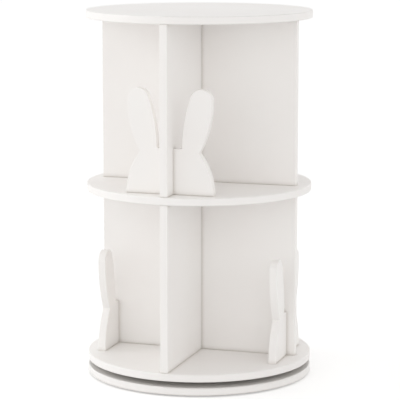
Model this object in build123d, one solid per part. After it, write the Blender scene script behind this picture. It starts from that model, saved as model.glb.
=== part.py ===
from build123d import *
import os

# A two-tier revolving bookshelf. Sizes are in millimetres, the floor is at height zero,
# the front faces -Y, and the shelf turns about the Z axis.

# Boards
board = 15.0
disc_radius = 220.0
rim_round = 2.0
edge_ease = 1.0
tier_height = 321.0
wide_panel_inset = 22.0
deep_panel_inset = 3.0
slot_clearance = 0.1

# Bunny bookends, half of a mirrored outline
bunny_inset = 38.0
bunny_half_width = 86.0
bunny_height = 199.0
cheek_inset = 28.0
waist_height = 80.0
ledge_height = 87.0
ear_flare = 25.0
ear_tip_radius = 21.0
ear_lean = 16.0
inside_corner_radius = 3.0

# Feet
foot_height = 3.0
foot_radius = 12.0
foot_inset = 35.0
foot_ease = 0.5
foot_count = 6

# Ring bearing between the base and the bottom disc
bearing_gap = 11.0
bearing_inset = 80.0
ring_width = 14.0
ring_spacing = 2.0
ring_lift = 1.0
ring_ease = 0.5
ball_radius = 2.5
ball_clearance = 0.3
ball_count = 30
cage_wall = 1.0
cage_lift = 1.0
cage_play = 0.1

# Screws and the holes that they pass through
hole_clearance = 0.1
head_recess = 0.5
key_depth_share = 0.6
tip_share = 0.45
ring_screw_count = 8
ring_screw_radius = 2.0
ring_head_radius = 3.75
ring_head_height = 2.4
ring_key_radius = 1.6
ring_grip = 6.0
panel_screw_radius = 3.5
panel_head_radius = 5.0
panel_head_height = 3.0
panel_key_radius = 2.3
panel_grip = 36.0

# Dowels
dowel_radius = 4.0
dowel_skin = 5.0
dowel_grip = 20.0
dowel_end_gap = 0.5
dowel_chamfer = 0.8

# Cam fittings at the top edge of each panel
cam_radius = 7.5
cam_skin = 2.5
cam_drop = 24.0
cam_play = 0.3
cam_key_width = 1.6
cam_key_depth = 2.0
cap_radius = 9.0
cap_height = 1.2
cap_round = 0.5
bolt_thread_radius = 3.0
bolt_skin = 4.0
bolt_collar_radius = 3.5
bolt_collar_height = 6.0
bolt_neck_radius = 2.2
bolt_head_radius = 3.2

# Places along a panel, as shares of the reach from the axis to the bunnies
screw_station_shares = (0.27, 0.86)
bottom_dowel_shares = (0.56,)
cam_station_shares = (0.36, 0.94)
top_dowel_shares = (0.65,)

# One overrun serves every cut
overrun = 2.0

# Heights and reaches that follow from the sizes above
base_z = foot_height
base_top_z = base_z + board
bottom_disc_z = base_top_z + bearing_gap
lower_floor_z = bottom_disc_z + board
mid_disc_z = lower_floor_z + tier_height
upper_floor_z = mid_disc_z + board
top_disc_z = upper_floor_z + tier_height
bunny_middle = disc_radius - bunny_inset - board / 2
station_reach = bunny_middle - board / 2
bunny_slot_depth = ledge_height / 2
slot_width = board + 2 * slot_clearance
ball_circle = disc_radius - bearing_inset
groove_z = base_top_z + bearing_gap / 2
ring_height = bearing_gap - ring_lift
outer_ring_inside = ball_circle + ring_spacing / 2
inner_ring_outside = ball_circle - ring_spacing / 2
outer_screw_circle = outer_ring_inside + ring_width / 2
inner_screw_circle = inner_ring_outside - ring_width / 2
groove_radius = ball_radius + ball_clearance
dowel_seat = board - dowel_skin
cam_depth = board - cam_skin
bolt_seat = board - bolt_skin

STAND = (Align.CENTER, Align.CENTER, Align.MIN)
HANG = (Align.CENTER, Align.CENTER, Align.MAX)
PANEL_TURNS = (0, 90)
FULL_TURN = 360


def post(radius, height):
    """A cylinder standing on the origin."""
    return Cylinder(radius, height, align=STAND)


def around(shape, count, radius, first_share=0.0):
    """Copies of a shape in a circle, the first one turned by a share of the spacing."""
    step = FULL_TURN / count
    return [Rot(Z=(index + first_share) * step) * Pos(X=radius) * shape for index in range(count)]


def stations(shares):
    """Places along a panel, on both sides of the axis."""
    return [side * share * station_reach for share in shares for side in (-1, 1)]


def along_panel(shape, shares, level=0.0):
    """Copies of a shape at the stations of a panel that lies along X."""
    return [Pos(place, 0, level) * shape for place in stations(shares)]


def along_cross(shape, shares, level):
    """Copies of a shape at the stations of both crossed panels."""
    return [Rot(Z=turn) * copy for turn in PANEL_TURNS for copy in along_panel(shape, shares, level)]


def drill(target, cutters):
    """The target with every cutter taken out of it."""
    for cutter in cutters:
        target = target - cutter
    return target


def group(solids):
    """Separate solids kept as one node."""
    return Compound(children=[piece.solid() for piece in solids])


# Fasteners

def screw(head_radius, head_height, shank_radius, length, key_radius):
    """A screw driven upwards, with its head standing on the origin."""
    blank = post(head_radius, head_height) + post(shank_radius, length)
    blank = chamfer(blank.edges().group_by(Axis.Z)[-1], shank_radius * tip_share)
    return blank - extrude(RegularPolygon(key_radius, 6), head_height * key_depth_share)


def screw_hole(head_radius, head_height, shank_radius, length):
    """The counterbored hole of a screw whose head stands on the origin."""
    mouth = Pos(Z=-head_recess - overrun) * post(
        head_radius + hole_clearance, overrun + head_recess + head_height
    )
    return mouth + post(shank_radius + hole_clearance, length + head_recess)


base_screw_length = board - head_recess + ring_grip
inner_screw_length = ring_height - head_recess + dowel_seat
panel_screw_length = board - head_recess + panel_grip


def ring_screw(length):
    """A small screw of the ring bearing."""
    return screw(ring_head_radius, ring_head_height, ring_screw_radius, length, ring_key_radius)


def ring_screw_hole(length):
    """The hole for a small screw of the ring bearing."""
    return screw_hole(ring_head_radius, ring_head_height, ring_screw_radius, length)


def panel_screw():
    """A long screw that draws a panel down on the disc it stands on."""
    return screw(
        panel_head_radius, panel_head_height, panel_screw_radius, panel_screw_length, panel_key_radius
    )


def panel_screw_hole():
    """The hole for a long panel screw, through the disc and into the panel."""
    return screw_hole(panel_head_radius, panel_head_height, panel_screw_radius, panel_screw_length)


def dowel(below, above):
    """A dowel across the origin's plane, a little shorter than its two holes."""
    blank = Pos(Z=dowel_end_gap - below) * post(dowel_radius, below + above - 2 * dowel_end_gap)
    return chamfer(blank.edges().filter_by(GeomType.CIRCLE), dowel_chamfer)


def dowel_hole(below, above):
    """The two holes of a dowel as one cutter."""
    return Pos(Z=-below) * post(dowel_radius + hole_clearance, below + above)


def cam_bolt():
    """A bolt in the underside of a disc, at the origin, whose head hangs into a cam."""
    thread = post(bolt_thread_radius, bolt_seat - dowel_end_gap)
    collar = Cylinder(bolt_collar_radius, bolt_collar_height, align=HANG)
    neck = Cylinder(bolt_neck_radius, cam_drop, align=HANG)
    return thread + collar + neck + Pos(Z=-cam_drop) * Sphere(bolt_head_radius)


def cam_bolt_seat():
    """The hole in a disc for the thread of a cam bolt."""
    return post(bolt_thread_radius + hole_clearance, bolt_seat)


def cam_bolt_bore():
    """The hole in a panel's top edge for the collar, neck and head of a cam bolt."""
    return Pos(Z=overrun) * Cylinder(
        bolt_collar_radius + hole_clearance, cam_drop + overrun, align=HANG
    )


def across_panel(radius, depth, start):
    """A cylinder that runs through a panel's thickness, from a place towards +Y."""
    return Pos(0, start, -cam_drop) * Rot(X=-90) * post(radius, depth)


def cam():
    """A cam in a panel's face, hollow where the bolt's neck and head go in."""
    body = across_panel(cam_radius, cam_depth - head_recess, cam_skin - board / 2)
    channel = Cylinder(bolt_neck_radius + cam_play, cam_drop, align=HANG)
    pocket = Pos(Z=-cam_drop) * Sphere(bolt_head_radius + cam_play)
    key = Box(cam_radius, 2 * cam_key_depth, cam_key_width)
    face = Pos(0, board / 2 - head_recess, -cam_drop)
    return body - channel - pocket - face * key - face * Rot(Y=90) * key


def cam_pocket():
    """The round pocket in a panel's face for a cam."""
    return across_panel(cam_radius + hole_clearance, cam_depth + overrun, cam_skin - board / 2)


def cam_cap():
    """A push-on cover that hides a cam."""
    blank = across_panel(cap_radius, cap_height, board / 2)
    return fillet(blank.edges().filter_by(GeomType.CIRCLE).sort_by(Axis.Y)[-1], cap_round)


# Boards

def disc(level):
    """A round board with softened rims."""
    blank = post(disc_radius, board)
    return Pos(Z=level) * fillet(blank.edges().filter_by(GeomType.CIRCLE), rim_round)


def seat_panels(target, floor_z):
    """A disc drilled for the screws and dowels of the panels that stand on it."""
    screws = along_cross(panel_screw_hole(), screw_station_shares, floor_z - board + head_recess)
    dowels = along_cross(dowel_hole(dowel_seat, overrun), bottom_dowel_shares, floor_z)
    return drill(target, screws + dowels)


def hang_panels(target, ceiling_z):
    """A disc drilled from below for the cam bolts and dowels of the panels under it."""
    bolts = along_cross(cam_bolt_seat(), cam_station_shares, ceiling_z)
    dowels = along_cross(dowel_hole(overrun, dowel_seat), top_dowel_shares, ceiling_z)
    return drill(target, bolts + dowels)


def base_disc():
    """The disc that stays still, drilled for the screws of the bearing's outer ring."""
    hole = ring_screw_hole(base_screw_length)
    holes = around(Pos(Z=base_z + head_recess) * hole, ring_screw_count, outer_screw_circle)
    return drill(disc(base_z), holes)


def bottom_disc():
    """The floor of the lower tier, screwed to the bearing's inner ring."""
    hole = Pos(Z=bottom_disc_z - overrun) * post(
        ring_screw_radius + hole_clearance, overrun + dowel_seat + head_recess
    )
    holes = around(hole, ring_screw_count, inner_screw_circle, first_share=0.5)
    return drill(seat_panels(disc(bottom_disc_z), lower_floor_z), holes)


def mid_disc():
    """The ceiling of the lower tier and the floor of the upper one."""
    return hang_panels(seat_panels(disc(mid_disc_z), upper_floor_z), mid_disc_z)


def top_disc():
    """The closed top."""
    return hang_panels(disc(top_disc_z), top_disc_z)


def panel(inset, cross_slot_from_top, holds_bunnies):
    """An upright board along X, standing on the origin, slotted and drilled for what meets it."""
    blank = Box(2 * (disc_radius - inset), board, tier_height, align=STAND)
    blank = fillet(blank.edges(), edge_ease)
    cut_depth = board + 2 * overrun
    slot = Box(slot_width, cut_depth, tier_height / 2 + overrun, align=STAND)
    blank = blank - Pos(Z=tier_height / 2 if cross_slot_from_top else -overrun) * slot
    if holds_bunnies:
        notch = Box(slot_width, cut_depth, bunny_slot_depth + overrun, align=STAND)
        blank = drill(blank, [Pos(side * bunny_middle, 0, -overrun) * notch for side in (-1, 1)])
    holes = along_panel(panel_screw_hole(), screw_station_shares, head_recess - board)
    holes += along_panel(dowel_hole(overrun, dowel_grip), bottom_dowel_shares)
    holes += along_panel(dowel_hole(dowel_grip, overrun), top_dowel_shares, tier_height)
    holes += along_panel(cam_bolt_bore(), cam_station_shares, tier_height)
    holes += along_panel(cam_pocket(), cam_station_shares, tier_height)
    return drill(blank, holes)


def wide_panel(floor_z, holds_bunnies):
    """The panel that runs left to right."""
    return Pos(Z=floor_z) * panel(wide_panel_inset, True, holds_bunnies)


def deep_panel(floor_z, holds_bunnies):
    """The panel that runs front to back."""
    return Pos(Z=floor_z) * Rot(Z=90) * panel(deep_panel_inset, False, holds_bunnies)


# Bunny bookends

def ear_inside_touch(root, tip):
    """Where the inner edge of an ear, upright at its root, runs into the round tip."""
    across = root.X - tip.X
    up = root.Y - tip.Y
    edge_radius = (across**2 + up**2 - ear_tip_radius**2) / (2 * ear_lean)
    centre = Vector(root.X + edge_radius, root.Y)
    return tip + (tip - centre).normalized() * ear_tip_radius


def bunny_outline():
    """A rabbit seen from behind: round cheeks, a flat head and two long ears that lean out."""
    waist = Vector(bunny_half_width - cheek_inset, waist_height)
    ear_outside = Vector(waist.X + ear_flare, bunny_height - ear_tip_radius)
    tip = Vector(ear_outside.X - ear_tip_radius, ear_outside.Y)
    root = Vector(tip.X - ear_tip_radius - ear_lean, ledge_height)
    ear_inside = ear_inside_touch(root, tip)
    foot = Vector(bunny_half_width, 0)
    half = [
        Line((0, 0), foot),
        TangentArc(foot, waist, tangent=(0, 1)),
        TangentArc(ear_outside, waist, tangent=(0, -1)),
        ThreePointArc(ear_outside, tip + Vector(0, ear_tip_radius), ear_inside),
        TangentArc(root, ear_inside, tangent=(0, 1)),
        Line(root, (0, ledge_height)),
        Line((0, ledge_height), (0, 0)),
    ]
    half_face = make_face(half)
    inside_corners = [half_face.vertices().sort_by_distance(corner)[0] for corner in (waist, root)]
    half_face = fillet(inside_corners, inside_corner_radius)
    return half_face + mirror(half_face, about=Plane.YZ)


def foot_bevels():
    """Cutters that take the sharp corner off both long edges of a bunny's foot."""
    side = edge_ease * 2**0.5
    cutter = Rot(X=45) * Box(2 * bunny_half_width + overrun, side, side)
    return [Pos(Y=face * board / 2) * cutter for face in (-1, 1)]


def bunny():
    """A bookend across a panel that lies along Y, slotted to drop over the notched panel."""
    blank = extrude(Plane.XZ * bunny_outline(), amount=board / 2, both=True)
    sides = blank.faces().sort_by(Axis.Y)
    outline_edges = sides[0].edges() + sides[-1].edges()
    blank = fillet([edge for edge in outline_edges if edge.center().Z > edge_ease], edge_ease)
    slot = Box(slot_width, board + 2 * overrun, bunny_slot_depth + overrun, align=STAND)
    return drill(blank - Pos(Z=ledge_height - bunny_slot_depth) * slot, foot_bevels())


# Feet and bearing

def foot_pads():
    """Low round pads under the base."""
    pad = post(foot_radius, foot_height)
    pad = fillet(pad.edges().filter_by(GeomType.CIRCLE).sort_by(Axis.Z)[0], foot_ease)
    return group(around(pad, foot_count, disc_radius - foot_inset, first_share=0.5))


def ring(inside, level):
    """One ring of the bearing, with the groove that the balls run in."""
    blank = post(inside + ring_width, ring_height) - post(inside, ring_height)
    blank = chamfer(blank.edges().filter_by(GeomType.CIRCLE), ring_ease)
    return Pos(Z=level) * blank - Pos(Z=groove_z) * Torus(ball_circle, groove_radius)


def bearing_outer_ring():
    """The ring that stays on the base, tapped from below."""
    tapped = Pos(Z=base_top_z - overrun) * post(
        ring_screw_radius + hole_clearance, overrun + ring_grip + head_recess
    )
    holes = around(tapped, ring_screw_count, outer_screw_circle)
    return drill(ring(outer_ring_inside, base_top_z), holes)


def bearing_inner_ring():
    """The ring that turns with the shelf, counterbored from below."""
    level = bottom_disc_z - ring_height
    hole = Pos(Z=level + head_recess) * ring_screw_hole(ring_height + overrun)
    holes = around(hole, ring_screw_count, inner_screw_circle, first_share=0.5)
    return drill(ring(inner_ring_outside - ring_width, level), holes)


def base_screws():
    """The screws that hold the outer ring down on the base."""
    piece = Pos(Z=base_z + head_recess) * ring_screw(base_screw_length)
    return group(around(piece, ring_screw_count, outer_screw_circle))


def inner_ring_screws():
    """The screws that hold the inner ring up against the bottom disc."""
    piece = Pos(Z=bottom_disc_z - ring_height + head_recess) * ring_screw(inner_screw_length)
    return group(around(piece, ring_screw_count, inner_screw_circle, first_share=0.5))


def ball_cage():
    """The thin strip that spaces the balls."""
    height = bearing_gap - 2 * cage_lift
    strip = post(ball_circle + cage_wall / 2, height) - post(ball_circle - cage_wall / 2, height)
    window = Rot(Y=90) * Cylinder(ball_radius + cage_play, cage_wall + 2 * overrun)
    windows = around(Pos(Z=groove_z) * window, ball_count, ball_circle)
    return drill(Pos(Z=base_top_z + cage_lift) * strip, windows)


def bearing_balls():
    """The balls between the two rings."""
    return group(around(Pos(Z=groove_z) * Sphere(ball_radius), ball_count, ball_circle))


# Assembly

def tier_nodes(tier, floor_z, wide_holds_bunnies):
    """The panels of a tier and the fasteners at their bottom and top edges."""
    ceiling_z = floor_z + tier_height
    screw_z = floor_z - board + head_recess
    return {
        f"{tier}_wide_panel": wide_panel(floor_z, wide_holds_bunnies),
        f"{tier}_deep_panel": deep_panel(floor_z, not wide_holds_bunnies),
        f"{tier}_panel_screws": group(along_cross(panel_screw(), screw_station_shares, screw_z)),
        f"{tier}_bottom_dowels": group(
            along_cross(dowel(dowel_seat, dowel_grip), bottom_dowel_shares, floor_z)
        ),
        f"{tier}_top_dowels": group(
            along_cross(dowel(dowel_grip, dowel_seat), top_dowel_shares, ceiling_z)
        ),
        f"{tier}_cam_bolts": group(along_cross(cam_bolt(), cam_station_shares, ceiling_z)),
        f"{tier}_cams": group(along_cross(cam(), cam_station_shares, ceiling_z)),
        f"{tier}_cam_caps": group(along_cross(cam_cap(), cam_station_shares, ceiling_z)),
    }


def bunny_nodes():
    """The four bookends: left and right below, front and rear above."""
    across_wide = Rot(Z=90) * bunny()
    across_deep = bunny()
    return {
        "lower_left_bunny": Pos(-bunny_middle, 0, lower_floor_z) * across_wide,
        "lower_right_bunny": Pos(bunny_middle, 0, lower_floor_z) * across_wide,
        "upper_front_bunny": Pos(0, -bunny_middle, upper_floor_z) * across_deep,
        "upper_rear_bunny": Pos(0, bunny_middle, upper_floor_z) * across_deep,
    }


def nodes():
    """Every node of the bookshelf by its name."""
    return {
        "base_disc": base_disc(),
        "foot_pads": foot_pads(),
        "base_screws": base_screws(),
        "bearing_outer_ring": bearing_outer_ring(),
        "ball_cage": ball_cage(),
        "bearing_balls": bearing_balls(),
        "bearing_inner_ring": bearing_inner_ring(),
        "inner_ring_screws": inner_ring_screws(),
        "bottom_disc": bottom_disc(),
        "mid_disc": mid_disc(),
        "top_disc": top_disc(),
        **tier_nodes("lower", lower_floor_z, wide_holds_bunnies=True),
        **tier_nodes("upper", upper_floor_z, wide_holds_bunnies=False),
        **bunny_nodes(),
    }


os.makedirs("parts", exist_ok=True)
for name, shape in nodes().items():
    export_step(shape, f"parts/{name}.step")
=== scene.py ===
# The looks of a revolving bookshelf: white painted boards on a ring bearing, and the fittings inside them.
import math

import bpy
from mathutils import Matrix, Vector


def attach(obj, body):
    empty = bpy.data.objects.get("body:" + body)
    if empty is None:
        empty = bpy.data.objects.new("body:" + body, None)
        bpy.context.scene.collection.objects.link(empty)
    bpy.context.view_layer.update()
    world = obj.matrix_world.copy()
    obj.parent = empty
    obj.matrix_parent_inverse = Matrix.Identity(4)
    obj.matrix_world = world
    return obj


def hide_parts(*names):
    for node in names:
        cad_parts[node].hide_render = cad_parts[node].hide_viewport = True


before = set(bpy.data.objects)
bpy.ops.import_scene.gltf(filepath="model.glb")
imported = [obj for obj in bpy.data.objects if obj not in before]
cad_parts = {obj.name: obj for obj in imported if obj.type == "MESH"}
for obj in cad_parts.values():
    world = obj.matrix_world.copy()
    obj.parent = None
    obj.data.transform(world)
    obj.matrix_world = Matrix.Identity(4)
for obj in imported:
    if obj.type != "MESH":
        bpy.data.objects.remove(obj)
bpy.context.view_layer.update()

MM = 0.001
WHITE = (1.0, 1.0, 1.0, 1.0)

# Where the camera stands, in metres from the axis and the floor, and how it looks
CAMERA_TURN = math.radians(17.82)
CAMERA_DISTANCE = 3.730
CAMERA_HEIGHT = 0.950
CAMERA_YAW = math.radians(-0.025)
CAMERA_PITCH = math.radians(9.267)
CAMERA_LENS = 172.9
SENSOR_WIDTH = 36.0

# Light: the sky's strength, and the watts and the place of each lamp
SKY_TINT = (1.0, 0.995, 0.985)
HORIZON_LEVEL = 1.30
OVERHEAD_LEVEL = 0.50
LAMP_SIZE = 2.4
LAMP_AIM = (0.0, 0.0, 0.36)
LAMPS = {
    "left key": (21.4, (-3.3, -0.6, 1.6)),
    "front fill": (3.4, (-0.8, -3.7, 1.0)),
    "right fill": (1.8, (3.2, -1.2, 0.9)),
}

# Floor: half its width, the share of light that it throws back, and the glow that lets it read as white
FLOOR_REACH = 40.0
FLOOR_SHARE = 0.88
FLOOR_GLOW = 0.35

# Which sockets of a Mix node take and give colours
MIX_FIRST = 6
MIX_SECOND = 7
MIX_RESULT = 2


def srgb(red, green, blue):
    """A colour written in the usual 0 to 255 steps, as linear light."""
    def linear(step):
        share = step / 255
        return share / 12.92 if share <= 0.04045 else ((share + 0.055) / 1.055) ** 2.4
    return (linear(red), linear(green), linear(blue), 1.0)


# Nodes, for finishes and recipes alike

def add(tree, kind, sockets=None, **settings):
    """A node with its settings, whose sockets take a plain value or another node's output."""
    made = tree.nodes.new(kind)
    for name, value in settings.items():
        setattr(made, name, value)
    for name, value in (sockets or {}).items():
        if isinstance(value, bpy.types.NodeSocket):
            tree.links.new(value, made.inputs[name])
        else:
            made.inputs[name].default_value = value
    return made


def work_out(tree, kind, *values):
    """The result of one sum on a value or two."""
    return add(tree, "ShaderNodeMath", dict(enumerate(values)), operation=kind).outputs["Value"]


def times(tree, first, second):
    """The product of two values."""
    return work_out(tree, "MULTIPLY", first, second)


def over(tree, first, second):
    """One value divided by another."""
    return work_out(tree, "DIVIDE", first, second)


def minus(tree, first, second):
    """One value less another."""
    return work_out(tree, "SUBTRACT", first, second)


def not_under_zero(tree, value):
    """A value, or zero where it is negative."""
    return work_out(tree, "MAXIMUM", value, 0.0)


def as_share(tree, value):
    """A value held from going under zero or over one."""
    return add(tree, "ShaderNodeClamp", {"Value": value}).outputs["Result"]


def between(tree, value, span, to=(0.0, 1.0)):
    """A value spread from one span to another, and held at its ends."""
    low, high = span
    start, end = to
    sockets = {"Value": value, "From Min": low, "From Max": high, "To Min": start, "To Max": end}
    return add(tree, "ShaderNodeMapRange", sockets, clamp=True).outputs["Result"]


def parts_of(tree, place):
    """The X, Y and Z of a place or a direction."""
    return add(tree, "ShaderNodeSeparateXYZ", {"Vector": place}).outputs


def joined(tree, **parts):
    """A place or a direction made of its X, Y and Z."""
    return add(tree, "ShaderNodeCombineXYZ", parts).outputs["Vector"]


# Nodes for finishes alone

def place_on_piece(tree):
    """The Object coordinates of the piece."""
    return tree.nodes.new("ShaderNodeTexCoord").outputs["Object"]


def noise(tree, where, scale, detail):
    """Even noise at a scale, in lumps to the metre."""
    made = add(tree, "ShaderNodeTexNoise", {"Vector": where, "Scale": scale, "Detail": detail})
    return made.outputs["Fac"]


def blend_colours(tree, amount, first, second):
    """Two colours mixed by an amount."""
    sockets = {"Factor": amount, MIX_FIRST: first, MIX_SECOND: second}
    return add(tree, "ShaderNodeMix", sockets, data_type="RGBA").outputs[MIX_RESULT]


def facing_down(tree):
    """One on faces that point down, and zero on the rest."""
    downward_span = (-0.90, -0.98)
    normal = tree.nodes.new("ShaderNodeNewGeometry").outputs["Normal"]
    return between(tree, parts_of(tree, normal)["Z"], downward_span)


def bump(tree, shader, height, depth, strength):
    """Raises the surface by a height that is worth a depth in metres."""
    made = add(tree, "ShaderNodeBump", {"Height": height, "Distance": depth, "Strength": strength})
    tree.links.new(made.outputs["Normal"], shader.inputs["Normal"])


# Effects that finishes share

def effect(name, inputs, outputs):
    """An empty shader group with named sockets: the tree, what comes in and what goes out."""
    tree = bpy.data.node_groups.new(name, "ShaderNodeTree")
    for socket, (kind, value) in inputs.items():
        made = tree.interface.new_socket(socket, in_out="INPUT", socket_type="NodeSocket" + kind)
        made.default_value = value
    for socket, kind in outputs.items():
        tree.interface.new_socket(socket, in_out="OUTPUT", socket_type="NodeSocket" + kind)
    return tree, tree.nodes.new("NodeGroupInput").outputs, tree.nodes.new("NodeGroupOutput").inputs


def use(tree, shared, **values):
    """A shared effect placed in a material with its own values."""
    placed = tree.nodes.new("ShaderNodeGroup")
    placed.node_tree = shared
    for name, value in values.items():
        placed.inputs[name.replace("_", " ")].default_value = value
    return placed.outputs


def film_effect():
    """A rolled paint film: faint clouds of colour, an orange peel surface and a sheen that wanders."""
    cloud_span = (0.35, 0.70)
    sheen_span = (0.30, 0.70)
    sheen_fineness = 8.0
    tree, given, made = effect(
        "paint film",
        {
            "Colour": ("Color", WHITE),
            "Thin colour": ("Color", WHITE),
            "Cloud scale": ("Float", 8.0),
            "Peel scale": ("Float", 600.0),
            "Smooth": ("Float", 0.3),
            "Rough": ("Float", 0.5),
        },
        {"Colour": "Color", "Roughness": "Float", "Height": "Float"},
    )
    where = place_on_piece(tree)
    clouds = between(tree, noise(tree, where, given["Cloud scale"], detail=4.0), cloud_span)
    wander = noise(tree, where, times(tree, given["Cloud scale"], sheen_fineness), detail=3.0)
    sheen = between(tree, wander, sheen_span, (given["Smooth"], given["Rough"]))
    tree.links.new(blend_colours(tree, clouds, given["Colour"], given["Thin colour"]), made["Colour"])
    tree.links.new(sheen, made["Roughness"])
    tree.links.new(noise(tree, where, given["Peel scale"], detail=2.0), made["Height"])
    return tree


def rub_effect():
    """Where an edge is rubbed by hands and books: strong on the arris, broken up along it."""
    rounding_samples = 4
    arris_span = (0.995, 0.90)
    patch_span = (0.40, 0.60)
    tree, given, made = effect(
        "rubbed edge",
        {"Reach": ("Float", 0.002), "Patch scale": ("Float", 30.0)},
        {"Mask": "Float"},
    )
    rounded = add(tree, "ShaderNodeBevel", {"Radius": given["Reach"]}, samples=rounding_samples)
    surface = tree.nodes.new("ShaderNodeNewGeometry")
    turn = add(
        tree, "ShaderNodeVectorMath",
        {0: rounded.outputs["Normal"], 1: surface.outputs["Normal"]}, operation="DOT_PRODUCT",
    )
    arris = between(tree, turn.outputs["Value"], arris_span)
    patches = between(tree, noise(tree, place_on_piece(tree), given["Patch scale"], detail=3.0), patch_span)
    tree.links.new(times(tree, arris, patches), made["Mask"])
    return tree


def painted_seam_shade_effect():
    """Painted shade where two boards meet, from ambient occlusion: darkest in the corner, gone a little way
    out.
    """
    shade_samples = 8
    open_span = (1.0, 0.45)
    tree, given, made = effect(
        "seam_shade_mask",
        {"Reach": ("Float", 0.006), "Sharpness": ("Float", 1.5)},
        {"Mask": "Float"},
    )
    shade = add(tree, "ShaderNodeAmbientOcclusion", {"Distance": given["Reach"]}, samples=shade_samples)
    held = between(tree, shade.outputs["AO"], open_span)
    tree.links.new(work_out(tree, "POWER", held, given["Sharpness"]), made["Mask"])
    return tree


def mottle_effect():
    """A fine mottle for moulded and plated surfaces: two tones, a sheen to match and a low grain."""
    tone_span = (0.35, 0.65)
    whole_span = (0.0, 1.0)
    grain_fineness = 9.0
    tree, given, made = effect(
        "mottle",
        {
            "Colour": ("Color", WHITE),
            "Second colour": ("Color", WHITE),
            "Scale": ("Float", 200.0),
            "Smooth": ("Float", 0.3),
            "Rough": ("Float", 0.5),
        },
        {"Colour": "Color", "Roughness": "Float", "Height": "Float"},
    )
    where = place_on_piece(tree)
    tone = between(tree, noise(tree, where, given["Scale"], detail=3.0), tone_span)
    sheen = between(tree, tone, whole_span, (given["Smooth"], given["Rough"]))
    grain = noise(tree, where, times(tree, given["Scale"], grain_fineness), detail=2.0)
    tree.links.new(blend_colours(tree, tone, given["Colour"], given["Second colour"]), made["Colour"])
    tree.links.new(sheen, made["Roughness"])
    tree.links.new(grain, made["Height"])
    return tree


PAINT_FILM = film_effect()
RUBBED_EDGE = rub_effect()
PAINTED_SEAM_SHADE = painted_seam_shade_effect()
MOTTLE = mottle_effect()


# Finishes

# The paint as rolled, where it is thin, where an edge is rubbed, and the painted shade where two boards meet
PAINT = srgb(252, 250, 248)
THIN_PAINT = srgb(250, 247, 245)
RUBBED_PAINT = srgb(244, 240, 234)
SEAM_SHADE = srgb(226, 222, 217)
# How much of the rubbed colour shows at the most
RUB_SHARE = 0.35
# The underside of the bottom disc, in the bearing gap, is coloured a darker tone than the paint as painted
# shade for the gap
GAP_SHADE_COLOUR = srgb(188, 184, 178)


def finish(name, metallic=0.0):
    """A material, its tree and its shader."""
    material = bpy.data.materials.new(name)
    material.use_nodes = True
    shader = material.node_tree.nodes["Principled BSDF"]
    shader.inputs["Metallic"].default_value = metallic
    return material, material.node_tree, shader


def painted_board(name, underside=None):
    """Warm white satin paint on board. An underside colour, if there is one, covers faces that point down as
    painted shade.
    """
    material, tree, shader = finish(name)
    film = use(
        tree, PAINT_FILM,
        Colour=PAINT, Thin_colour=THIN_PAINT, Cloud_scale=7.0, Peel_scale=620.0, Smooth=0.40, Rough=0.52,
    )
    rubbed = use(tree, RUBBED_EDGE, Reach=1.6 * MM, Patch_scale=26.0)["Mask"]
    colour = blend_colours(tree, times(tree, rubbed, RUB_SHARE), film["Colour"], RUBBED_PAINT)
    # Painted shade: ambient occlusion darkens the paint towards the shade colour where boards meet
    seam_shade_mask = use(tree, PAINTED_SEAM_SHADE, Reach=9.0 * MM, Sharpness=1.4)["Mask"]
    colour = blend_colours(tree, seam_shade_mask, colour, SEAM_SHADE)
    # Painted shade: faces that point down take the darker underside colour
    if underside:
        colour = blend_colours(tree, facing_down(tree), colour, underside)
    tree.links.new(colour, shader.inputs["Base Color"])
    tree.links.new(film["Roughness"], shader.inputs["Roughness"])
    bump(tree, shader, film["Height"], depth=0.03 * MM, strength=0.5)
    return material


def bare_beech():
    """Bare beech with its grain and its short dark flecks running up the dowel."""
    pale = srgb(222, 192, 152)
    dark = srgb(201, 165, 121)
    fleck = srgb(150, 108, 70)
    roughness = (0.55, 0.72)
    grain_stretch = (1.0, 1.0, 0.06)
    grain_span = (0.30, 0.70)
    fleck_stretch = (1.0, 1.0, 0.18)
    fleck_span = (0.64, 0.74)
    whole_span = (0.0, 1.0)
    material, tree, shader = finish("bare beech")
    where = place_on_piece(tree)
    grain_run = add(tree, "ShaderNodeMapping", {"Vector": where, "Scale": grain_stretch}).outputs["Vector"]
    fleck_run = add(tree, "ShaderNodeMapping", {"Vector": where, "Scale": fleck_stretch}).outputs["Vector"]
    grain = between(tree, noise(tree, grain_run, scale=900.0, detail=4.0), grain_span)
    flecks = between(tree, noise(tree, fleck_run, scale=2400.0, detail=1.0), fleck_span)
    colour = blend_colours(tree, flecks, blend_colours(tree, grain, pale, dark), fleck)
    tree.links.new(colour, shader.inputs["Base Color"])
    tree.links.new(between(tree, grain, whole_span, roughness), shader.inputs["Roughness"])
    bump(tree, shader, grain, depth=0.08 * MM, strength=0.5)
    return material


def turned_aluminium():
    """Aluminium turned on a lathe: fine rings about the axis of the bearing."""
    bright = srgb(214, 216, 218)
    dull = srgb(190, 192, 195)
    roughness = (0.28, 0.42)
    ring_span = (0.30, 0.70)
    material, tree, shader = finish("turned aluminium", metallic=1.0)
    place = parts_of(tree, place_on_piece(tree))
    flat = joined(tree, X=place["X"], Y=place["Y"])
    radius = add(tree, "ShaderNodeVectorMath", {0: flat}, operation="LENGTH").outputs["Value"]
    rings = noise(tree, joined(tree, X=radius, Y=place["Z"]), scale=4200.0, detail=2.0)
    tree.links.new(blend_colours(tree, rings, bright, dull), shader.inputs["Base Color"])
    tree.links.new(between(tree, rings, ring_span, roughness), shader.inputs["Roughness"])
    bump(tree, shader, rings, depth=0.02 * MM, strength=0.6)
    return material


def mottled(name, depth, strength, metallic=0.0, **values):
    """A finish that is the mottle with its own values, and a grain of some depth and strength."""
    material, tree, shader = finish(name, metallic)
    made = use(tree, MOTTLE, **values)
    tree.links.new(made["Colour"], shader.inputs["Base Color"])
    tree.links.new(made["Roughness"], shader.inputs["Roughness"])
    bump(tree, shader, made["Height"], depth, strength)
    return material


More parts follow.
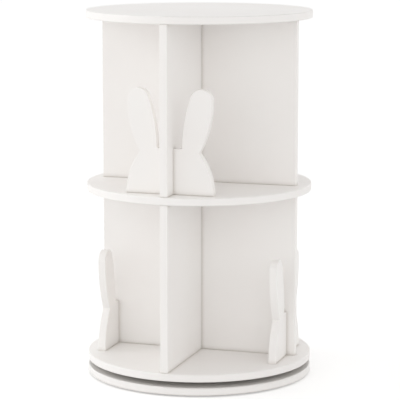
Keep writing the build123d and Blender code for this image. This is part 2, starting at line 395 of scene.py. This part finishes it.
def polished_steel():
    """Bright ball steel with faint smears of grease."""
    return mottled(
        "polished steel", depth=0.004 * MM, strength=0.2, metallic=1.0,
        Colour=srgb(232, 232, 234), Second_colour=srgb(216, 216, 219), Scale=420.0, Smooth=0.06, Rough=0.16,
    )


def zinc_plate():
    """Zinc plated steel with a cloudy sheen."""
    return mottled(
        "zinc plate", depth=0.01 * MM, strength=0.3, metallic=1.0,
        Colour=srgb(212, 213, 215), Second_colour=srgb(186, 189, 194), Scale=650.0, Smooth=0.24, Rough=0.42,
    )


def cage_plastic():
    """Black moulded plastic with the fine spark texture of its mould."""
    return mottled(
        "black cage plastic", depth=0.03 * MM, strength=0.4,
        Colour=srgb(50, 50, 52), Second_colour=srgb(42, 42, 44), Scale=320.0, Smooth=0.42, Rough=0.58,
    )


def cap_plastic():
    """White moulded plastic, a little glossier than the paint round it."""
    return mottled(
        "white cap plastic", depth=0.03 * MM, strength=0.4,
        Colour=srgb(246, 245, 242), Second_colour=srgb(243, 241, 238), Scale=320.0, Smooth=0.32, Rough=0.44,
    )


def foot_rubber():
    """Dull grey rubber."""
    return mottled(
        "foot rubber", depth=0.03 * MM, strength=0.4,
        Colour=srgb(58, 58, 58), Second_colour=srgb(46, 46, 47), Scale=320.0, Smooth=0.70, Rough=0.88,
    )


FINISHES = {
    "white_board": painted_board("white satin paint"),
    "dowel_wood": bare_beech(),
    "bearing_aluminium": turned_aluminium(),
    "ball_steel": polished_steel(),
    "cage_plastic": cage_plastic(),
    "fastener_steel": zinc_plate(),
    "cap_plastic": cap_plastic(),
    "foot_rubber": foot_rubber(),
}


def dress_nodes():
    """Gives every node of the model the finish of its slot, and the bottom disc an underside darkened as
    painted shade.
    """
    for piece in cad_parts.values():
        for index, worn in enumerate(piece.data.materials):
            piece.data.materials[index] = FINISHES[worn.name.split(".")[0]]
    # Painted shade for the bearing gap: the bottom disc's underside is darker than the paint
    bottom_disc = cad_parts["bottom_disc"]
    bottom_disc.data.materials[0] = painted_board("white paint, bottom_disc", underside=GAP_SHADE_COLOUR)


# Fittings that repeat: each recipe makes one fitting and sets it out on its places

# Points closer than this, seen from above, belong to one fitting
FITTING_SPACING = 20.0 * MM
# How far a fitting's radius stays inside that of the solid it stands for
FITTING_SLACK = 0.02 * MM
# Edges that turn by more than this stay crisp
CREASE = math.radians(35.0)

DOWEL_NODES = ("lower_bottom_dowels", "lower_top_dowels", "upper_bottom_dowels", "upper_top_dowels")
DOWEL_SIZES = {"Flutes": 14, "Flute depth": 0.35 * MM, "Chamfer": 1.2 * MM}

LONG_SCREW_NODES = ("lower_panel_screws", "upper_panel_screws")
LONG_SCREW_SIZES = {
    "Head height": 3.0 * MM,
    "Head chamfer": 0.5 * MM,
    "Key radius": 2.3 * MM,
    "Key depth": 1.8 * MM,
    "Thread radius": 3.5 * MM,
    "Core radius": 2.6 * MM,
    "Pitch": 3.0 * MM,
    "Plain length": 14.0 * MM,
    "Point": 5.0 * MM,
    "Tip share": 0.12,
    "Thread rings": 140,
}

BASE_SCREW_NODES = ("base_screws",)
TURNING_SCREW_NODES = ("inner_ring_screws",)
RING_SCREW_SIZES = {
    "Head height": 2.4 * MM,
    "Head chamfer": 0.3 * MM,
    "Key radius": 1.6 * MM,
    "Key depth": 1.4 * MM,
    "Thread radius": 2.0 * MM,
    "Core radius": 1.6 * MM,
    "Pitch": 0.8 * MM,
    "Plain length": 4.0 * MM,
    "Point": 0.8 * MM,
    "Tip share": 0.72,
    "Thread rings": 120,
}


def fittings_in(node):
    """The place, radius and length of each upright fitting in a node, from where its points stand."""
    groups = []
    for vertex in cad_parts[node].data.vertices:
        near = [group for group in groups if (group[0] - vertex.co).xy.length < FITTING_SPACING]
        if near:
            near[0].append(vertex.co)
        else:
            groups.append([vertex.co])
    found = []
    for group in groups:
        low = Vector(map(min, *group))
        high = Vector(map(max, *group))
        middle = (low + high) / 2
        found.append(((middle.x, middle.y, low.z), (high.x - low.x) / 2, high.z - low.z))
    return found


def recipe(name, sizes):
    """An empty geometry tree with places, named sizes and a material: the tree and what comes in."""
    tree = bpy.data.node_groups.new(name, "GeometryNodeTree")
    tree.interface.new_socket("Places", in_out="INPUT", socket_type="NodeSocketGeometry")
    for size, kind in sizes.items():
        tree.interface.new_socket(size, in_out="INPUT", socket_type="NodeSocket" + kind)
    tree.interface.new_socket("Material", in_out="INPUT", socket_type="NodeSocketMaterial")
    tree.interface.new_socket("Fittings", in_out="OUTPUT", socket_type="NodeSocketGeometry")
    return tree, tree.nodes.new("NodeGroupInput").outputs


def place_in_mesh(tree):
    """The X, Y and Z of each point of a mesh."""
    return parts_of(tree, tree.nodes.new("GeometryNodeInputPosition").outputs["Position"])


def rod(tree, corners, rings, radius, height):
    """A closed rod about the origin, with enough rings to be reshaped."""
    made = add(
        tree, "GeometryNodeMeshCylinder",
        {"Vertices": corners, "Side Segments": rings, "Radius": radius, "Depth": height},
    )
    return made.outputs["Mesh"]


def lifted(tree, mesh, height):
    """A mesh raised by a height."""
    sockets = {"Geometry": mesh, "Translation": joined(tree, Z=height)}
    return add(tree, "GeometryNodeTransform", sockets).outputs["Geometry"]


def standing(tree, mesh, height):
    """A mesh of some height about the origin, raised to stand on it."""
    return lifted(tree, mesh, times(tree, height, 0.5))


def reshape(tree, mesh, scale_across):
    """Scales every point of a mesh away from its upright axis."""
    place = place_in_mesh(tree)
    across = {axis: times(tree, place[axis], scale_across) for axis in ("X", "Y")}
    moved = joined(tree, **across, Z=place["Z"])
    return add(tree, "GeometryNodeSetPosition", {"Geometry": mesh, "Position": moved}).outputs["Geometry"]


def set_out(tree, given, fitting):
    """Sets a fitting out on the places, as one plain mesh with its material and crisp creases."""
    smooth = add(tree, "GeometryNodeSetShadeSmooth", {"Geometry": fitting, "Shade Smooth": True})
    angle = tree.nodes.new("GeometryNodeInputMeshEdgeAngle").outputs["Unsigned Angle"]
    creased = work_out(tree, "GREATER_THAN", angle, CREASE)
    crisp = add(
        tree, "GeometryNodeSetShadeSmooth",
        {"Geometry": smooth.outputs["Geometry"], "Selection": creased, "Shade Smooth": False}, domain="EDGE",
    )
    copies = add(
        tree, "GeometryNodeInstanceOnPoints",
        {"Points": given["Places"], "Instance": crisp.outputs["Geometry"]},
    )
    plain = add(tree, "GeometryNodeRealizeInstances", {"Geometry": copies.outputs["Instances"]})
    worn = add(
        tree, "GeometryNodeSetMaterial",
        {"Geometry": plain.outputs["Geometry"], "Material": given["Material"]},
    )
    add(tree, "NodeGroupOutput", {"Fittings": worn.outputs["Geometry"]})
    return tree


def dowel_recipe():
    """A dowel with glue flutes along it and chamfered ends."""
    corners_to_a_flute = 4
    rings = 24
    tree, given = recipe(
        "fluted dowel",
        {"Radius": "Float", "Length": "Float", "Flutes": "Int", "Flute depth": "Float", "Chamfer": "Float"},
    )
    corners = times(tree, given["Flutes"], corners_to_a_flute)
    blank = rod(tree, corners, rings, given["Radius"], given["Length"])
    place = place_in_mesh(tree)
    angle = work_out(tree, "ARCTAN2", place["Y"], place["X"])
    wave = work_out(tree, "COSINE", times(tree, angle, given["Flutes"]))
    flute = times(tree, not_under_zero(tree, wave), given["Flute depth"])
    from_middle = work_out(tree, "ABSOLUTE", place["Z"])
    to_end = minus(tree, times(tree, given["Length"], 0.5), from_middle)
    drawn_in = not_under_zero(tree, minus(tree, given["Chamfer"], to_end))
    loss = over(tree, work_out(tree, "MAXIMUM", flute, drawn_in), given["Radius"])
    shaped = reshape(tree, blank, minus(tree, 1.0, loss))
    return set_out(tree, given, standing(tree, shaped, given["Length"]))


def screw_head(tree, given):
    """The head, standing on the origin, with its lower edge chamfered."""
    corners = 48
    rings = 12
    blank = rod(tree, corners, rings, given["Radius"], given["Head height"])
    drawn_in = not_under_zero(tree, minus(tree, given["Head chamfer"], place_in_mesh(tree)["Z"]))
    scale_across = minus(tree, 1.0, over(tree, drawn_in, given["Radius"]))
    return reshape(tree, standing(tree, blank, given["Head height"]), scale_across)


def thread(tree, given, place, from_tip):
    """How far a rolled thread stands out of the core, as a share of the core's radius."""
    half_turn = 0.5
    flank_slope = 3.0
    flat_root = 0.5
    run_out_end = 0.5
    way_round = over(tree, work_out(tree, "ARCTAN2", place["Y"], place["X"]), math.tau)
    turns = minus(tree, over(tree, place["Z"], given["Pitch"]), way_round)
    wave = work_out(tree, "PINGPONG", turns, half_turn)
    crest = as_share(tree, minus(tree, times(tree, wave, flank_slope), flat_root))
    run_in = as_share(tree, over(tree, minus(tree, place["Z"], given["Plain length"]), given["Pitch"]))
    run_out = as_share(tree, minus(tree, from_tip, run_out_end))
    full_height = minus(tree, over(tree, given["Thread radius"], given["Core radius"]), 1.0)
    return times(tree, times(tree, crest, times(tree, run_in, run_out)), full_height)


def screw_shank(tree, given):
    """A plain neck that starts inside the head, a thread after it, and a point that narrows to its tip."""
    corners = 24
    start_share = 0.5
    start = times(tree, given["Head height"], start_share)
    length = minus(tree, given["Length"], start)
    blank = rod(tree, corners, given["Thread rings"], given["Core radius"], length)
    blank = lifted(tree, standing(tree, blank, length), start)
    place = place_in_mesh(tree)
    from_tip = over(tree, minus(tree, given["Length"], place["Z"]), given["Point"])
    threaded = work_out(tree, "ADD", thread(tree, given, place, from_tip), 1.0)
    cone = times(tree, as_share(tree, from_tip), minus(tree, 1.0, given["Tip share"]))
    pointed = work_out(tree, "ADD", cone, given["Tip share"])
    return reshape(tree, blank, times(tree, threaded, pointed))


def screw_recipe():
    """A socket screw driven upwards: a head, its shank, and a hexagon key cut in the head from below."""
    key_corners = 6
    key_rings = 1
    floats = (
        "Radius", "Length", "Head height", "Head chamfer", "Key radius", "Key depth", "Thread radius",
        "Core radius", "Pitch", "Plain length", "Point", "Tip share",
    )
    tree, given = recipe("socket screw", {**{size: "Float" for size in floats}, "Thread rings": "Int"})
    whole = add(tree, "GeometryNodeMeshBoolean", operation="UNION")
    for mesh in (screw_head(tree, given), screw_shank(tree, given)):
        tree.links.new(mesh, whole.inputs["Mesh 2"])
    above_and_below = times(tree, given["Key depth"], 2.0)
    key = rod(tree, key_corners, key_rings, given["Key radius"], above_and_below)
    cut = add(
        tree, "GeometryNodeMeshBoolean",
        {"Mesh 1": whole.outputs["Mesh"], "Mesh 2": key}, operation="DIFFERENCE",
    )
    return set_out(tree, given, cut.outputs["Mesh"])


def make_fittings(name, tree, nodes, sizes, body, slot):
    """Runs a recipe on the places of some nodes and puts the plain mesh where those nodes were."""
    found = [fitting for node in nodes for fitting in fittings_in(node)]
    _, radius, length = found[0]
    places = bpy.data.meshes.new(name + " places")
    places.from_pydata([place for place, _, _ in found], [], [])
    bench = bpy.data.objects.new(name + " bench", places)
    bpy.context.scene.collection.objects.link(bench)
    made = bench.modifiers.new("recipe", "NODES")
    made.node_group = tree
    values = {**sizes, "Radius": radius - FITTING_SLACK, "Length": length, "Material": FINISHES[slot]}
    for socket in tree.interface.items_tree:
        if socket.in_out == "INPUT" and socket.name in values:
            made[socket.identifier] = values[socket.name]
    bpy.context.view_layer.update()
    mesh = bpy.data.meshes.new_from_object(bench.evaluated_get(bpy.context.evaluated_depsgraph_get()))
    bpy.data.objects.remove(bench)
    piece = bpy.data.objects.new(name, mesh)
    bpy.context.scene.collection.objects.link(piece)
    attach(piece, body)
    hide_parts(*nodes)


def all_fittings():
    """The dowels and the screws, one piece for each kind and body."""
    dowel = dowel_recipe()
    screw = screw_recipe()
    steel = "fastener_steel"
    make_fittings("fluted_dowels", dowel, DOWEL_NODES, DOWEL_SIZES, "carousel", "dowel_wood")
    make_fittings("long_screws", screw, LONG_SCREW_NODES, LONG_SCREW_SIZES, "carousel", steel)
    make_fittings("base_ring_screws", screw, BASE_SCREW_NODES, RING_SCREW_SIZES, "base", steel)
    make_fittings("turning_ring_screws", screw, TURNING_SCREW_NODES, RING_SCREW_SIZES, "carousel", steel)


# Stage

def seen_directly(tree):
    """One for the rays of the camera, of reflections and of glass, and zero for light that bounces."""
    path = tree.nodes.new("ShaderNodeLightPath").outputs
    seen = work_out(tree, "MAXIMUM", path["Is Camera Ray"], path["Is Glossy Ray"])
    return work_out(tree, "MAXIMUM", seen, path["Is Transmission Ray"])


def floor():
    """A plain pale floor that reads as white and keeps the shelf's shadow."""
    corners = [(x * FLOOR_REACH, y * FLOOR_REACH, 0.0) for x, y in ((-1, -1), (1, -1), (1, 1), (-1, 1))]
    mesh = bpy.data.meshes.new("floor")
    mesh.from_pydata(corners, [], [(0, 1, 2, 3)])
    piece = bpy.data.objects.new("floor", mesh)
    bpy.context.scene.collection.objects.link(piece)
    material = bpy.data.materials.new("pale floor")
    material.use_nodes = True
    tree = material.node_tree
    tree.nodes.clear()
    plain = add(tree, "ShaderNodeBsdfDiffuse", {"Color": (FLOOR_SHARE, FLOOR_SHARE, FLOOR_SHARE, 1.0)})
    glow = add(tree, "ShaderNodeEmission", {"Strength": times(tree, seen_directly(tree), FLOOR_GLOW)})
    both = add(tree, "ShaderNodeAddShader", {0: plain.outputs["BSDF"], 1: glow.outputs["Emission"]})
    add(tree, "ShaderNodeOutputMaterial", {"Surface": both.outputs["Shader"]})
    mesh.materials.append(material)


def sky():
    """A soft sky that gives more light from the horizon than from overhead, and is white where it is seen."""
    up_span = (0.0, 1.0)
    world = bpy.data.worlds.new("studio")
    bpy.context.scene.world = world
    world.use_nodes = True
    tree = world.node_tree
    tree.nodes.clear()
    direction = tree.nodes.new("ShaderNodeTexCoord").outputs["Generated"]
    level = between(tree, parts_of(tree, direction)["Z"], up_span, (HORIZON_LEVEL, OVERHEAD_LEVEL))
    light = add(tree, "ShaderNodeBackground", {"Color": (*SKY_TINT, 1.0), "Strength": level})
    white = add(tree, "ShaderNodeBackground", {"Color": WHITE, "Strength": 1.0})
    chosen = add(
        tree, "ShaderNodeMixShader",
        {0: seen_directly(tree), 1: light.outputs["Background"], 2: white.outputs["Background"]},
    )
    add(tree, "ShaderNodeOutputWorld", {"Surface": chosen.outputs["Shader"]})


def soft_lamp(name, power, place):
    """A large round lamp that faces the shelf."""
    data = bpy.data.lights.new(name, "AREA")
    data.shape = "DISK"
    data.size = LAMP_SIZE
    data.energy = power
    lamp = bpy.data.objects.new(name, data)
    lamp.location = place
    lamp.rotation_euler = (Vector(LAMP_AIM) - lamp.location).to_track_quat("-Z", "Y").to_euler()
    bpy.context.scene.collection.objects.link(lamp)


def camera():
    """The camera, at the photograph's angle."""
    data = bpy.data.cameras.new("camera")
    data.lens = CAMERA_LENS
    data.sensor_width = SENSOR_WIDTH
    eye = bpy.data.objects.new("camera", data)
    eye.location = (
        CAMERA_DISTANCE * math.sin(CAMERA_TURN),
        -CAMERA_DISTANCE * math.cos(CAMERA_TURN),
        CAMERA_HEIGHT,
    )
    eye.rotation_euler = (math.pi / 2 - CAMERA_PITCH, 0.0, CAMERA_TURN + CAMERA_YAW)
    bpy.context.scene.collection.objects.link(eye)
    bpy.context.scene.camera = eye


# The whole scene

dress_nodes()
all_fittings()
floor()
sky()
for lamp_name, (lamp_power, lamp_place) in LAMPS.items():
    soft_lamp(lamp_name, lamp_power, lamp_place)
camera()
bpy.context.scene.view_settings.view_transform = "Standard"
